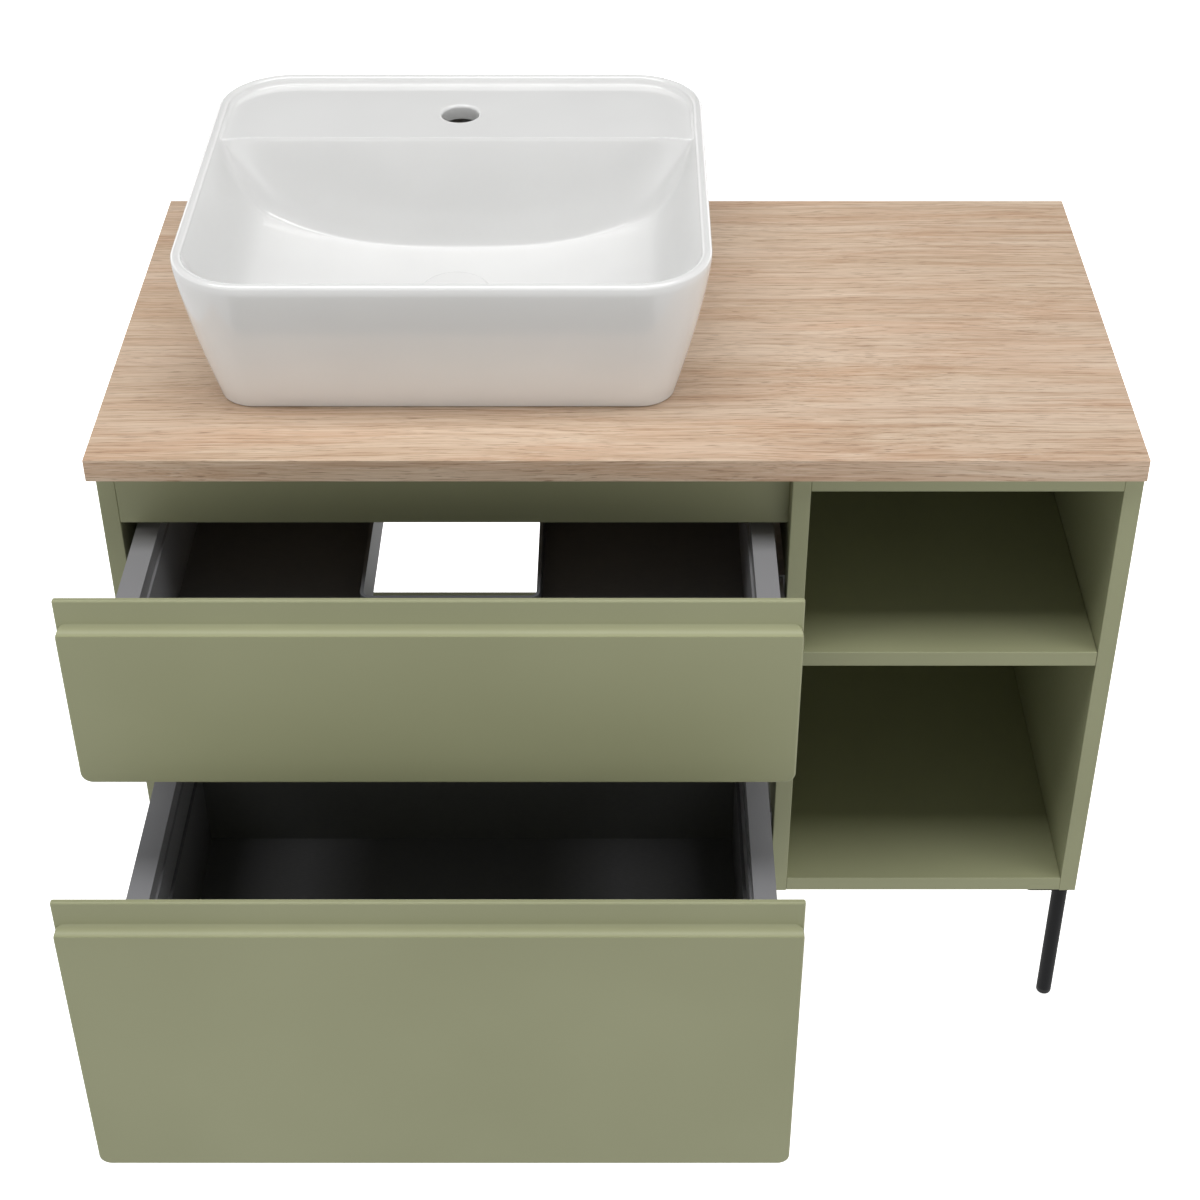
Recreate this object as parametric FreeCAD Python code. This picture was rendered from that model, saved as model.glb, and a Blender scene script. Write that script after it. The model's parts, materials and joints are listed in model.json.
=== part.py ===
import FreeCAD, Part
import math
import os

# Vessel sink on a vanity cabinet. Millimetres, +Z up, +X to the right of a person facing the fronts,
# +Y towards the wall. The drawers stand partly open. The origin is on the floor, at the middle of
# the floor rectangle that the cabinet with its open drawers covers.

Vector = FreeCAD.Vector

# --- driving dimensions -------------------------------------------------------------------------

# cabinet
worktop_width = 900.0
worktop_depth = 460.0
worktop_thickness = 22.0
carcass_height = 497.0
leg_height = 155.0
board = 16.0
drawer_bay_width = 600.5        # left outer face to the divider's left face
niche_overhang = 8.0            # worktop past the niche's front edges
front_gap = 4.0                 # closed drawer front to the panels behind it
bottom_inset = 1.0              # bottom boards sit this far above the side panels' lower ends
shelf_height = 303.0            # carcass underside to the top of the shelf
front_rail_height = 65.0
hanging_rail_height = 100.0
back_thickness = 6.0
back_groove = 6.0
back_inset = 18.0               # niche back to the rear edges
edge_round = 0.8
dowel_from_edge = 60.0
pin_from_front = 50.0
pin_from_rear = 90.0
pin_in_panel = 8.0
pin_in_shelf = 10.0
shelf_gap = 0.3                 # shelf to the panels beside it, and round its pins
bumper_radius = 5.0
bumper_gap = 0.3
bumper_from_end = 40.0          # bumpers to a front's lower and upper edges

# drawer fronts
front_thickness = 18.0
front_reveal_left = 3.0
front_reveal_right = 1.0
front_drop = 7.0                # lower front below the carcass
front_worktop_gap = 2.5
front_between = 3.0
lower_front_height = 311.5
grip_depth = 8.5                # face to the lip's front
grip_height = 29.5              # lip's top to the face's top edge
grip_cove = 6.5
lip_thickness = 5.2
lip_rebate = 24.0               # how far down the front's back is cut away behind the lip
front_corner = 10.0
lip_corner = 2.0
face_round = 2.0
lip_round = 1.6

# drawer boxes
upper_open = 176.0
lower_open = 319.0
rear_service_gap = 84.0         # closed drawer box to the wall plane
side_clearance = 12.25          # drawer box to each side panel, taken up by the runners
side_width = 20.0
side_step_drop = 18.0
side_step = 2.0
sheet = 1.2
side_flange = 14.0
drawer_board = 16.0
lower_side_height = 169.0
lower_floor_gap = 4.0
upper_floor_gap = 3.5           # upper front's lower edge to the drawer side's lower edge
rail_clearance = 7.5            # front rail to the upper drawer side
side_panel_band = 34.0          # bare metal band above the lower drawer's inner side boards
side_panel_thickness = 3.0
side_panel_rear_gap = 8.0
back_drop = 4.0                 # back boards below the sides' upper faces
block_length = 26.0             # fixing blocks inside the sides' front ends
block_gap = 0.3
block_end_gap = 12.0
block_screw_end = 30.0
front_screw_bite = 9.0          # how far the screws reach into a front
rear_bracket_width = 46.0
rear_bracket_thickness = 1.5

# trap cut-out in the upper drawer
cutout_width = 154.0
cutout_from_front = 160.0
liner_wall = 3.0
liner_rise = 36.0
liner_corner = 9.0
liner_gap = 0.2

# runners
runner_height = 45.0
runner_rise = 16.0              # drawer side's lower edge to the runner's lower edge
runner_wall = 1.4
runner_play = 0.6
runner_front_inset = 2.0
runner_screw_places = (35.0, 165.0, 300.0)
runner_screw_length = 12.0

# basin
basin_width = 459.0
basin_depth = 411.0
basin_height = 140.0
basin_x = -148.0
basin_back_gap = 1.0
base_inset_side = 29.5
base_inset_front = 33.0
base_inset_back = 26.0
rim_corner = 66.0
base_corner = 32.0
outer_levels = (                # share of the height; shares of the side and end insets; corner
    (0.40, 0.50, 0.53, 48.0),
    (0.72, 0.17, 0.20, 60.0),
)
rim_width = 9.0
deck_drop = 8.0
deck_depth = 113.0              # inner rim to the front edge of the tap deck
deck_thickness = 14.0
bowl_depth = 112.0
bowl_levels = (                 # height over the floor; inset at sides, front, deck; corner
    (0.0, 120.0, 95.0, 24.0, 40.0),
    (11.0, 78.0, 66.0, 22.0, 46.0),
    (33.0, 38.0, 38.0, 18.0, 50.0),
)
deck_hollow_inset = 6.0         # hollow under the deck to the wall's own thickness
ceramic_wall = 12.0
tap_hole_radius = 17.5
tap_from_back = 72.0
hose_hole_radius = 20.0

# waste
waste_from_back = 229.0
waste_radius = 21.5             # above the step, where the back nut runs
tail_radius = 20.95             # below the step, where a trap is joined
tail_step = 1.0                 # back nut's underside to the step
waste_bore = 17.0
waste_flange_radius = 31.0
waste_flange_thickness = 3.0
waste_hole_radius = 22.5
tail_drop = 58.0                # worktop's underside to the tail's end
seal_thickness = 2.0
seal_inset = 0.5
nut_thickness = 10.0
nut_radius = 30.0
cap_radius = 31.5
cap_thickness = 5.0
cap_gap = 0.6
cap_round = 2.2
stem_radius = 4.0
stem_below_guide = 8.0
guide_depth = 22.0              # flange's underside to the stem's guide
guide_thickness = 6.0
guide_slot_radius = 4.5
seat_gap = 1.0                  # basin round the waste's flange
fit_gap = 0.05

# legs
leg_radius = 7.5
leg_wall = 1.5
leg_inset = 12.0
leg_plate = 44.0
leg_plate_thickness = 3.0
leg_plate_corner = 4.0
leg_plate_inset = 3.0           # plate to the cabinet's outer faces
leg_screw_offset = 26.0         # leg's axis to the plate's screws
leg_solid_end = 4.0             # solid top of each leg's tube
glide_height = 6.0
glide_plug = 14.0
glide_round = 2.0
screw_radius = 2.0
screw_length = 14.0
leg_screw_length = 12.0
screw_head_radius = 4.0
screw_head = 2.0
dowel_radius = 4.0
dowel_in_panel = 7.0
dowel_in_board = 20.0
pin_radius = 2.5
runner_head_radius = 2.9
bracket = 20.0
bracket_width = 30.0
bracket_thickness = 2.0
bracket_hole = 12.0             # rail's face to the screw in the worktop
angle_from_side = 90.0
worktop_screw_bite = 10.0
hole_gap = 0.2                  # screw holes in metal, past the shank
wall_hole_radius = 4.0
wall_hole_spacing = 420.0

# --- places that follow -------------------------------------------------------------------------

left_x = -worktop_width / 2
right_x = worktop_width / 2
back_y = (worktop_depth - niche_overhang + lower_open) / 2
worktop_front_y = back_y - worktop_depth
niche_front_y = worktop_front_y + niche_overhang
front_back_y = niche_front_y + front_thickness
panel_front_y = front_back_y + front_gap
carcass_z = leg_height
carcass_top = carcass_z + carcass_height
worktop_top = carcass_top + worktop_thickness
bottom_z = carcass_z + bottom_inset
left_inner_x = left_x + board
divider_x = left_x + drawer_bay_width
niche_left_x = divider_x + board
right_inner_x = right_x - board
shelf_z = carcass_z + shelf_height - board
niche_back_y = back_y - back_inset - back_thickness

front_left_x = left_x + front_reveal_left
front_right_x = divider_x - front_reveal_right
lower_front_z = carcass_z - front_drop
lower_front_top = lower_front_z + lower_front_height
upper_front_z = lower_front_top + front_between
upper_front_top = carcass_top - front_worktop_gap

drawer_left_x = left_inner_x + side_clearance
drawer_right_x = divider_x - side_clearance
drawer_length = back_y - rear_service_gap - front_back_y
drawer_rear_y = front_back_y + drawer_length
side_total = side_width + side_step
floor_left_x = drawer_left_x + side_total
floor_right_x = drawer_right_x - side_total
lower_side_z = bottom_z + board + lower_floor_gap
upper_side_z = upper_front_z + upper_floor_gap
upper_side_height = carcass_top - front_rail_height - rail_clearance - upper_side_z

basin_back_y = back_y - basin_back_gap
basin_front_y = basin_back_y - basin_depth
basin_rim_z = worktop_top + basin_height
deck_z = basin_rim_z - deck_drop
deck_front_y = basin_back_y - rim_width - deck_depth
bowl_z = basin_rim_z - bowl_depth
waste_y = basin_back_y - waste_from_back
tap_y = basin_back_y - tap_from_back
cutout_left_x = basin_x - cutout_width / 2
cutout_right_x = basin_x + cutout_width / 2
cutout_front_y = front_back_y + cutout_from_front

os.makedirs("parts", exist_ok=True)


# --- helpers ------------------------------------------------------------------------------------

def block(x0, x1, y0, y1, z0, z1):
    """A box between two corners."""
    return Part.makeBox(x1 - x0, y1 - y0, z1 - z0, Vector(x0, y0, z0))


def rod(radius, start, direction, length):
    """A cylinder from start along direction."""
    return Part.makeCylinder(radius, length, start, direction)


def rounded_outline(x0, x1, y0, y1, radius, z):
    """A closed wire at height z: a rectangle whose four corners are arcs."""
    h = radius * (1 - math.sqrt(0.5))
    corners = (
        ((x1 - radius, y0), (x1 - h, y0 + h), (x1, y0 + radius)),
        ((x1, y1 - radius), (x1 - h, y1 - h), (x1 - radius, y1)),
        ((x0 + radius, y1), (x0 + h, y1 - h), (x0, y1 - radius)),
        ((x0, y0 + radius), (x0 + h, y0 + h), (x0 + radius, y0)),
    )
    edges = []
    last = Vector(x0 + radius, y0, z)
    for start, middle, end in corners:
        points = [Vector(px, py, z) for px, py in (start, middle, end)]
        edges.append(Part.LineSegment(last, points[0]).toShape())
        edges.append(Part.Arc(*points).toShape())
        last = points[2]
    return Part.Wire(edges)


def rounded_block(x0, x1, y0, y1, z0, z1, radius):
    """A box whose four upright corners are rounded."""
    face = Part.Face(rounded_outline(x0, x1, y0, y1, radius, z0))
    return face.extrude(Vector(0, 0, z1 - z0))


def prism_y(points, y0, length):
    """A polygon given as (x, z) points, carried along +Y."""
    corners = [Vector(px, y0, pz) for px, pz in points]
    return Part.Face(Part.makePolygon(corners + corners[:1])).extrude(Vector(0, length, 0))


def mirrored(shape, x):
    """The same shape on the other side of the plane at x."""
    return shape.mirror(Vector(x, 0, 0), Vector(1, 0, 0))


def soften(shape, radius):
    """Break every straight edge of a board."""
    return shape.makeFillet(radius, [edge for edge in shape.Edges])


def screw(start, direction, length=screw_length):
    """A pan head screw: its head stands on start, its shank runs along direction."""
    head = rod(screw_head_radius, start, direction * -1, screw_head)
    return head.fuse(rod(screw_radius, start, direction, length)).removeSplitter()


def export(node, shapes):
    """Write one node: a single solid, or a group of separate solids."""
    shapes = shapes if isinstance(shapes, list) else [shapes]
    solids = [solid for shape in shapes for solid in shape.Solids]
    shape = solids[0] if len(solids) == 1 else Part.makeCompound(solids)
    shape.exportStep("parts/%s.step" % node)
    facts = (node, len(solids), shape.Volume / 1000, shape.isValid())
    print("%-36s %2d solid(s) %9.1f cm3 valid %s" % facts)


# --- carcass ------------------------------------------------------------------------------------

def dowel_places():
    """(x of the joint face, direction into the board, y, z) for every dowel of the carcass."""
    places = []
    low = bottom_z + board / 2
    high = carcass_top - board / 2
    boards = (
        (left_inner_x, divider_x, low, panel_front_y),
        (niche_left_x, right_inner_x, low, niche_front_y),
        (niche_left_x, right_inner_x, high, niche_front_y),
    )
    for x0, x1, z, front in boards:
        for y in (front + dowel_from_edge, back_y - dowel_from_edge):
            places.append((x0, 1, y, z))
            places.append((x1, -1, y, z))
    rails = (
        (panel_front_y + board / 2, carcass_top - front_rail_height / 2),
        (back_y - board / 2, carcass_top - hanging_rail_height / 2),
    )
    for y, z in rails:
        places.append((left_inner_x, 1, y, z))
        places.append((divider_x, -1, y, z))
    return places


def dowels(clearance=0.0):
    """All dowels, or the holes they sit in when a clearance is given."""
    shapes = []
    for x, direction, y, z in dowel_places():
        start = Vector(x - direction * (dowel_in_panel + clearance), y, z)
        length = dowel_in_panel + dowel_in_board + 2 * clearance
        shapes.append(rod(dowel_radius + clearance, start, Vector(direction, 0, 0), length))
    return shapes


def pin_places():
    """(x of the panel face, direction into the niche, y) for the four shelf pins."""
    rows = (niche_front_y + pin_from_front, back_y - pin_from_rear)
    return [(x, d, y) for y in rows for x, d in ((niche_left_x, 1), (right_inner_x, -1))]


def shelf_pins(clearance=0.0):
    """Steel pins, part in the panel and part in a slot in the shelf's underside."""
    shapes = []
    length = pin_in_panel + pin_in_shelf + 2 * clearance
    for x, direction, y in pin_places():
        start = Vector(x - direction * (pin_in_panel + clearance), y, shelf_z + pin_radius + 1)
        shapes.append(rod(pin_radius + clearance, start, Vector(direction, 0, 0), length))
    return shapes


def back_panel(clearance=0.0):
    """The niche's back, which stands in a groove all round."""
    reach = back_groove + clearance
    low = bottom_z + board - reach
    high = carcass_top - board + reach
    y0 = niche_back_y - clearance
    y1 = niche_back_y + back_thickness + clearance
    return block(niche_left_x - reach, right_inner_x + reach, y0, y1, low, high)


holes = Part.makeCompound(dowels(fit_gap) + shelf_pins(fit_gap) + [back_panel(0.2)])


def panel(x0, x1, y0, y1, z0, z1):
    """A board with broken edges and its dowel, pin and groove cuts."""
    return soften(block(x0, x1, y0, y1, z0, z1), edge_round).cut(holes)


def upright_panels():
    """The two side panels and the divider between the drawer bay and the niche."""
    z0, z1 = carcass_z, carcass_top
    export("left_side_panel", panel(left_x, left_inner_x, panel_front_y, back_y, z0, z1))
    export("divider_panel", panel(divider_x, niche_left_x, niche_front_y, back_y, z0, z1))
    export("right_side_panel", panel(right_inner_x, right_x, niche_front_y, back_y, z0, z1))


def level_boards():
    """The boards that lie flat: both bottoms and the niche's top."""
    z0, z1 = bottom_z, bottom_z + board
    export("drawer_bay_bottom", panel(left_inner_x, divider_x, panel_front_y, back_y, z0, z1))
    export("niche_bottom", panel(niche_left_x, right_inner_x, niche_front_y, back_y, z0, z1))
    z0, z1 = carcass_top - board, carcass_top
    export("niche_top", panel(niche_left_x, right_inner_x, niche_front_y, back_y, z0, z1))


def shelf():
    """The niche's shelf, with a slot over each pin."""
    x0 = niche_left_x + shelf_gap
    x1 = right_inner_x - shelf_gap
    y1 = niche_back_y - 1
    body = panel(x0, x1, niche_front_y, y1, shelf_z, shelf_z + board)
    half = pin_radius + shelf_gap
    roof = shelf_z + 1 + 2 * pin_radius
    for x, direction, y in pin_places():
        x0, x1 = sorted((x, x + direction * (pin_in_shelf + 1)))
        body = body.cut(block(x0, x1, y - half, y + half, shelf_z - 1, roof))
    return body


def hanging_rail():
    """The rail at the top rear, with two holes for the wall's screws."""
    z0 = carcass_top - hanging_rail_height
    rail = panel(left_inner_x, divider_x, back_y - board, back_y, z0, carcass_top)
    middle = (left_inner_x + divider_x) / 2
    for x in (middle - wall_hole_spacing / 2, middle + wall_hole_spacing / 2):
        start = Vector(x, back_y - board - 1, (z0 + carcass_top) / 2)
        rail = rail.cut(rod(wall_hole_radius, start, Vector(0, 1, 0), board + 2))
    return rail


def make_carcass():
    upright_panels()
    level_boards()
    export("niche_shelf", shelf())
    export("niche_back", back_panel())
    y0, y1 = panel_front_y, panel_front_y + board
    z0 = carcass_top - front_rail_height
    export("front_rail", panel(left_inner_x, divider_x, y0, y1, z0, carcass_top))
    export("hanging_rail", hanging_rail())
    export("joint_dowels", dowels())
    export("shelf_pins", shelf_pins())


def worktop_angles():
    """Steel angles behind the rails, and the screws that hold the worktop down."""
    angles, screws = [], []
    up = Vector(0, 0, 1)
    under = carcass_top - bracket_thickness
    for x0 in (left_inner_x + angle_from_side, divider_x - angle_from_side - bracket_width):
        x1 = x0 + bracket_width
        for wall_y, turn in ((panel_front_y + board, 1), (back_y - board, -1)):
            y0, y1 = sorted((wall_y, wall_y + turn * bracket))
            flat = block(x0, x1, y0, y1, under, carcass_top)
            y0, y1 = sorted((wall_y, wall_y + turn * bracket_thickness))
            upright = block(x0, x1, y0, y1, carcass_top - bracket, carcass_top)
            centre = Vector((x0 + x1) / 2, wall_y + turn * bracket_hole, under)
            hole = rod(screw_radius + hole_gap, centre - up, up, bracket_thickness + 2)
            angles.append(flat.fuse(upright).removeSplitter().cut(hole))
            screws.append(screw(centre, up))
    for y in (niche_front_y + angle_from_side, back_y - angle_from_side):
        centre = Vector((niche_left_x + right_inner_x) / 2, y, carcass_top - board)
        screws.append(screw(centre, up, board + worktop_screw_bite))
    return angles, screws


def make_worktop():
    up = Vector(0, 0, 1)
    top = soften(block(left_x, right_x, worktop_front_y, back_y, carcass_top, worktop_top), edge_round)
    for radius, y in ((waste_hole_radius, waste_y), (hose_hole_radius, tap_y)):
        top = top.cut(rod(radius, Vector(basin_x, y, carcass_top - 1), up, worktop_thickness + 2))
    export("worktop", top)
    angles, screws = worktop_angles()
    export("worktop_angles", angles)
    export("worktop_screws", screws)


# --- legs ---------------------------------------------------------------------------------------

def leg_tube(x, y):
    """A tube that stands over its glide, with a solid top under its plate."""
    up = Vector(0, 0, 1)
    length = carcass_z - leg_plate_thickness - glide_height
    tube = rod(leg_radius, Vector(x, y, glide_height), up, length)
    return tube.cut(rod(leg_radius - leg_wall, Vector(x, y, glide_height), up, length - leg_solid_end))


def leg_glide(x, y):
    """A plastic foot with a plug that is pressed into the tube."""
    up = Vector(0, 0, 1)
    foot = rod(leg_radius, Vector(x, y, 0), up, glide_height)
    foot = foot.makeFillet(glide_round, [foot.Edges[2]])
    plug = rod(leg_radius - leg_wall - fit_gap, Vector(x, y, glide_height), up, glide_plug)
    return foot.fuse(plug).removeSplitter()


def leg_plate_and_screws(side, edge_y, inward):
    """The plate over a leg, and its three screws: two into the bottom board, one into the side."""
    x = side * (worktop_width / 2 - leg_inset)
    y = edge_y + inward * leg_inset
    plate_z = carcass_z - leg_plate_thickness
    outer = worktop_width / 2 - leg_plate_inset
    x0, x1 = sorted((side * outer, side * (outer - leg_plate)))
    edge = edge_y + inward * leg_plate_inset
    y0, y1 = sorted((edge, edge + inward * leg_plate))
    plate = rounded_block(x0, x1, y0, y1, plate_z, carcass_z, leg_plate_corner)
    aside = x - side * leg_screw_offset
    along = y + inward * leg_screw_offset
    screws = []
    for px, py in ((aside, y), (x, along), (aside, along)):
        lift = bottom_inset if abs(px) < right_inner_x else 0.0
        spot = Vector(px, py, plate_z)
        hole_start = Vector(px, py, plate_z - 1)
        hole = rod(screw_radius + hole_gap, hole_start, Vector(0, 0, 1), leg_plate_thickness + 2)
        plate = plate.cut(hole)
        screws.append(screw(spot, Vector(0, 0, 1), leg_screw_length + lift))
    return plate, screws


def make_legs():
    corners = (
        ("front_left", -1, panel_front_y, 1),
        ("front_right", 1, niche_front_y, 1),
        ("rear_left", -1, back_y, -1),
        ("rear_right", 1, back_y, -1),
    )
    plates, glides, screws = [], [], []
    for name, side, edge_y, inward in corners:
        x = side * (worktop_width / 2 - leg_inset)
        y = edge_y + inward * leg_inset
        export("leg_" + name, leg_tube(x, y))
        glides.append(leg_glide(x, y))
        plate, plate_screws = leg_plate_and_screws(side, edge_y, inward)
        plates.append(plate)
        screws += plate_screws
    export("leg_plates", plates)
    export("leg_glides", glides)
    export("leg_screws", screws)


# --- basin and waste ----------------------------------------------------------------------------

def basin_outline(side, front, back, corner, z):
    """The basin's outline at height z, drawn in from the rim by side, front and back."""
    x0 = basin_x - basin_width / 2 + side
    x1 = basin_x + basin_width / 2 - side
    return rounded_outline(x0, x1, basin_front_y + front, basin_back_y - back, corner, z)


def make_basin():
    """A rectangular vessel with leaning walls, a tap deck at the back and a hollow under the deck."""
    levels = ((0.0, 1.0, 1.0, base_corner),) + outer_levels + ((1.0, 0.0, 0.0, rim_corner),)
    wires = []
    for height, side, ends, corner in levels:
        front, back = base_inset_front * ends, base_inset_back * ends
        z = worktop_top + basin_height * height
        wires.append(basin_outline(base_inset_side * side, front, back, corner, z))
    body = Part.makeLoft(wires, True, True)
    inner = rim_width
    rim_cut = basin_outline(inner, inner, inner, rim_corner - inner, deck_z)
    body = body.cut(Part.Face(rim_cut).extrude(Vector(0, 0, deck_drop + 1)))
    body = body.cut(bowl())
    hollow_top = deck_z - deck_thickness
    half = basin_width / 2 - base_inset_side - ceramic_wall - deck_hollow_inset
    y0 = deck_front_y + ceramic_wall
    y1 = basin_back_y - base_inset_back - ceramic_wall
    left, right = basin_x - half, basin_x + half
    body = body.cut(rounded_block(left, right, y0, y1, worktop_top - 1, hollow_top, ceramic_wall))
    up = Vector(0, 0, 1)
    tap = rod(tap_hole_radius, Vector(basin_x, tap_y, hollow_top - 1), up, deck_thickness + 3)
    seat_z = bowl_z - waste_flange_thickness - seal_thickness
    seat = rod(waste_flange_radius + seat_gap, Vector(basin_x, waste_y, seat_z), up, basin_height)
    drain = rod(waste_hole_radius, Vector(basin_x, waste_y, worktop_top - 1), up, basin_height)
    export("basin", body.cut(tap).cut(seat).cut(drain))


def bowl():
    """The water's space: wide at the deck's height, drawn in by levels to a dished floor."""
    x0 = basin_x - basin_width / 2 + rim_width
    x1 = basin_x + basin_width / 2 - rim_width
    y0 = basin_front_y + rim_width
    y1 = deck_front_y
    wires = []
    for rise, side, front, deck, corner in bowl_levels:
        z = bowl_z + rise
        wires.append(rounded_outline(x0 + side, x1 - side, y0 + front, y1 - deck, corner, z))
    wires.append(rounded_outline(x0, x1, y0, y1, rim_corner - rim_width, deck_z + 0.5))
    return Part.makeLoft(wires, True, True)


def ring(outer, inner, z0, z1):
    """A flat ring about the waste's axis."""
    base = Vector(basin_x, waste_y, z0)
    up = Vector(0, 0, 1)
    return rod(outer, base, up, z1 - z0).cut(rod(inner, base, up, z1 - z0))


def make_waste():
    """Push-down waste: flanged body, seals, washer, back nut, guide and the cap on its stem."""
    flange_z = bowl_z - waste_flange_thickness
    washer_z = carcass_top - seal_thickness
    nut_z = washer_z - nut_thickness
    step_z = nut_z - tail_step
    body = ring(waste_flange_radius, waste_bore, flange_z, bowl_z)
    body = body.fuse(ring(waste_radius, waste_bore, step_z, flange_z))
    body = body.fuse(ring(tail_radius, waste_bore, carcass_top - tail_drop, step_z)).removeSplitter()
    guide_z = flange_z - guide_depth
    web = ring(waste_bore + 1, stem_radius + fit_gap, guide_z, guide_z + guide_thickness)
    middle = (waste_bore + stem_radius) / 2
    for angle in (45, 135, 225, 315):
        start = Vector(middle, 0, guide_z - 1)
        slot = rod(guide_slot_radius, start, Vector(0, 0, 1), guide_thickness + 2)
        slot.rotate(Vector(0, 0, 0), Vector(0, 0, 1), angle)
        slot.translate(Vector(basin_x, waste_y, 0))
        web = web.cut(slot)
    export("waste_body", body.fuse(web).removeSplitter())
    seal_bore = waste_radius + hole_gap
    seal = ring(waste_flange_radius - seal_inset, seal_bore, flange_z - seal_thickness, flange_z)
    export("waste_flange_seal", seal)
    export("waste_washer", ring(nut_radius, seal_bore, washer_z, carcass_top))
    nut = ring(nut_radius + 2, waste_radius + fit_gap, nut_z, washer_z)
    for angle in range(0, 360, 60):
        notch = block(nut_radius - 1, nut_radius + 4, -4, 4, nut_z - 1, washer_z - 2)
        notch.rotate(Vector(0, 0, 0), Vector(0, 0, 1), angle)
        notch.translate(Vector(basin_x, waste_y, 0))
        nut = nut.cut(notch)
    export("waste_back_nut", nut)
    cap_z = bowl_z + cap_gap
    up = Vector(0, 0, 1)
    cap = rod(cap_radius, Vector(basin_x, waste_y, cap_z), up, cap_thickness)
    cap = cap.makeFillet(cap_round, [cap.Edges[0]])
    stem_z = guide_z - stem_below_guide
    stem = rod(stem_radius, Vector(basin_x, waste_y, stem_z), up, cap_z - stem_z)
    export("waste_cap", cap.fuse(stem).removeSplitter())


# --- drawers ------------------------------------------------------------------------------------

def upright_outline(x0, x1, z0, z1, low, high, y):
    """A closed wire in the plane at y: a rectangle with rounded lower and upper corners."""
    edges = []
    last = None
    first = None
    for cx, cz, radius, start in (
        (x0 + low, z0 + low, low, 180),
        (x1 - low, z0 + low, low, 270),
        (x1 - high, z1 - high, high, 0),
        (x0 + high, z1 - high, high, 90),
    ):
        points = []
        for turn in (0, 45, 90):
            angle = math.radians(start + turn)
            points.append(Vector(cx + radius * math.cos(angle), y, cz + radius * math.sin(angle)))
        if last is not None:
            edges.append(Part.LineSegment(last, points[0]).toShape())
        first = first or points[0]
        edges.append(Part.Arc(*points).toShape())
        last = points[2]
    edges.append(Part.LineSegment(last, first).toShape())
    return Part.Wire(edges)


def drawer_front(z0, z1):
    """A front with a flat face, a concave finger recess along its top and a thin lip above it."""
    x0, x1 = front_left_x, front_right_x
    lip_y = niche_front_y + grip_depth
    depth = Vector(0, front_thickness - grip_depth, 0)
    lip = Part.Face(upright_outline(x0, x1, z0, z1, front_corner, lip_corner, lip_y)).extrude(depth)
    lip = lip.cut(block(x0 - 1, x1 + 1, lip_y + lip_thickness, front_back_y + 1, z1 - lip_rebate, z1 + 1))
    top_back = [e for e in lip.Edges if e.BoundBox.ZMin > z1 - 0.01]
    lip = lip.makeFillet(lip_round, top_back)
    face_top = z1 - grip_height
    outline = upright_outline(x0, x1, z0, face_top + grip_cove, front_corner, front_corner, niche_front_y)
    face = Part.Face(outline).extrude(Vector(0, grip_depth, 0))
    rim = [e for e in face.Edges if e.BoundBox.YMax < niche_front_y + 0.01]
    face = face.makeFillet(face_round, rim)
    start = Vector(x0 - 1, niche_front_y - 1, face_top)
    edge = Vector(x0 - 1, niche_front_y, face_top)
    bend = Vector(x0 - 1, niche_front_y + grip_depth * 0.66, face_top + grip_cove * 0.30)
    root = Vector(x0 - 1, lip_y, face_top + grip_cove)
    high = Vector(x0 - 1, lip_y, face_top + grip_cove + 2)
    above = Vector(x0 - 1, niche_front_y - 1, face_top + grip_cove + 2)
    cove = Part.Wire([
        Part.LineSegment(start, edge).toShape(),
        Part.Arc(edge, bend, root).toShape(),
        Part.LineSegment(root, high).toShape(),
        Part.LineSegment(high, above).toShape(),
        Part.LineSegment(above, start).toShape(),
    ])
    face = face.cut(Part.Face(cove).extrude(Vector(x1 - x0 + 2, 0, 0)))
    return lip.fuse(face).removeSplitter()


def drawer_side(z0, height):
    """The left side: a folded sheet box, open below, with an inward step and a floor flange."""
    t = sheet
    x = drawer_left_x
    top = z0 + height
    step_z = top - side_step_drop
    w = side_width
    s = side_total
    outer = ((x, z0), (x, top), (x + w, top), (x + w, step_z), (x + s, step_z), (x + s, z0 + t),
             (x + s + side_flange, z0 + t), (x + s + side_flange, z0))
    inner = ((x + t, z0 - 1), (x + t, top - t), (x + w - t, top - t), (x + w - t, step_z - t),
             (x + s - t, step_z - t), (x + s - t, z0 - 1))
    side = prism_y(outer, front_back_y, drawer_length)
    return side.cut(prism_y(inner, front_back_y - 1, drawer_length + 2))


def fixing_blocks(z0, height):
    """Blocks inside the two sides' front ends, with the screws that hold the front to them."""
    x0 = drawer_left_x + sheet + block_gap
    x1 = drawer_left_x + side_width - sheet - block_gap
    middle = (x0 + x1) / 2
    rear = front_back_y + block_length
    low = z0 + block_end_gap
    high = z0 + height - block_end_gap
    body = block(x0, x1, front_back_y, rear, low, high)
    screws = []
    for z in (z0 + block_screw_end, z0 + height - block_screw_end):
        start = Vector(middle, front_back_y - 1, z)
        body = body.cut(rod(screw_radius + hole_gap, start, Vector(0, 1, 0), block_length + 2))
        spot = Vector(middle, rear, z)
        screws.append(screw(spot, Vector(0, -1, 0), block_length + front_screw_bite))
    centre_x = (drawer_left_x + drawer_right_x) / 2
    body_pair = [body, mirrored(body, centre_x)]
    screw_pair = screws + [mirrored(s, centre_x) for s in screws]
    return body_pair, screw_pair


def bumpers(z0, z1):
    """Soft discs on a front's back, where the closed front comes to rest on the left panel."""
    discs = []
    for z in (z0 + bumper_from_end, z1 - bumper_from_end):
        start = Vector(left_x + board / 2, front_back_y, z)
        discs.append(rod(bumper_radius, start, Vector(0, 1, 0), front_gap - bumper_gap))
    return discs


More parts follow.
